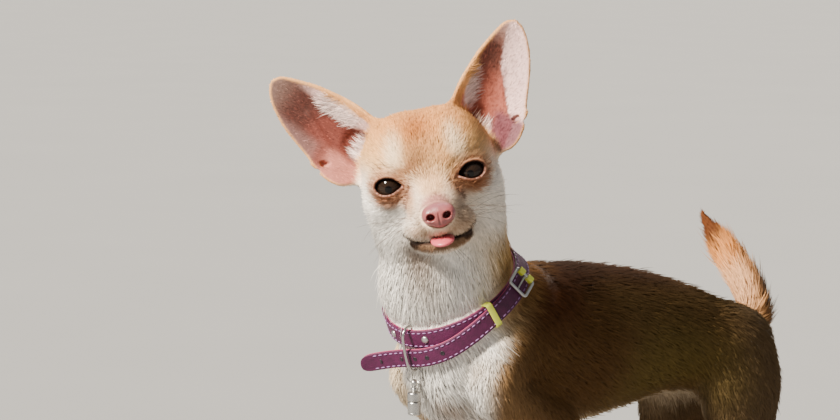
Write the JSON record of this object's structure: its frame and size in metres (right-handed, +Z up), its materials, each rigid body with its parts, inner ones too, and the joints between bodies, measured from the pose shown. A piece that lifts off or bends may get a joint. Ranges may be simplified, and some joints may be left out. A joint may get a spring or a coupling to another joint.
{
  "type": "chihuahua dog model",
  "caption": "Life-size still model of a smooth-coated chihuahua standing with its head turned over its left shoulder, wearing a buckled collar with a barrel tag.",
  "frame": {"origin": "on the floor, at the centre of the model's box in plan", "axes": "+Z up; -Y the way the body faces; +X the dog's left side"},
  "size_m": [0.1144, 0.3192, 0.3431],
  "materials": {
    "coat": "short flat fur, fawn and cream with a sable back and a white chest",
    "eye": "wet dark brown eye with a black pupil",
    "nose_leather": "moist liver pink nose pad",
    "tongue_skin": "moist pink tongue",
    "horn": "smooth dark horn",
    "strap": "dark purple strap with a pink lining edge and pale stitching",
    "keeper_plastic": "lime yellow, smooth",
    "buckle_metal": "worn silver grey metal",
    "ring_metal": "polished wire",
    "tag_metal": "knurled barrel with turned beads"
  },
  "bodies": {
    "root": {"head": "coat", "lower_jaw": "coat", "ear_left": "coat", "ear_right": "coat", "neck": "coat", "trunk": "coat", "tail": "coat", "foreleg_left": "coat", "foreleg_right": "coat", "hindleg_left": "coat", "hindleg_right": "coat", "eye_left": "eye", "eye_right": "eye", "nose": "nose_leather", "tongue": "tongue_skin", "foreclaw_left_1": "horn", "foreclaw_left_2": "horn", "foreclaw_left_3": "horn", "foreclaw_left_4": "horn", "foreclaw_left_5": "horn", "foreclaw_right_1": "horn", "foreclaw_right_2": "horn", "foreclaw_right_3": "horn", "foreclaw_right_4": "horn", "foreclaw_right_5": "horn", "hindclaw_left_1": "horn", "hindclaw_left_2": "horn", "hindclaw_left_3": "horn", "hindclaw_left_4": "horn", "hindclaw_right_1": "horn", "hindclaw_right_2": "horn", "hindclaw_right_3": "horn", "hindclaw_right_4": "horn", "collar_band": "strap", "collar_free_end": "strap", "keeper": "keeper_plastic", "buckle_fold_upper": "keeper_plastic", "buckle_fold_lower": "keeper_plastic", "buckle_frame": "buckle_metal", "buckle_pin": "buckle_metal", "rivet_left": "buckle_metal", "rivet_right": "buckle_metal", "dee_ring": "ring_metal", "split_ring": "ring_metal", "tag_cap": "tag_metal", "tag_body": "tag_metal"}
  },
  "joints": []
}
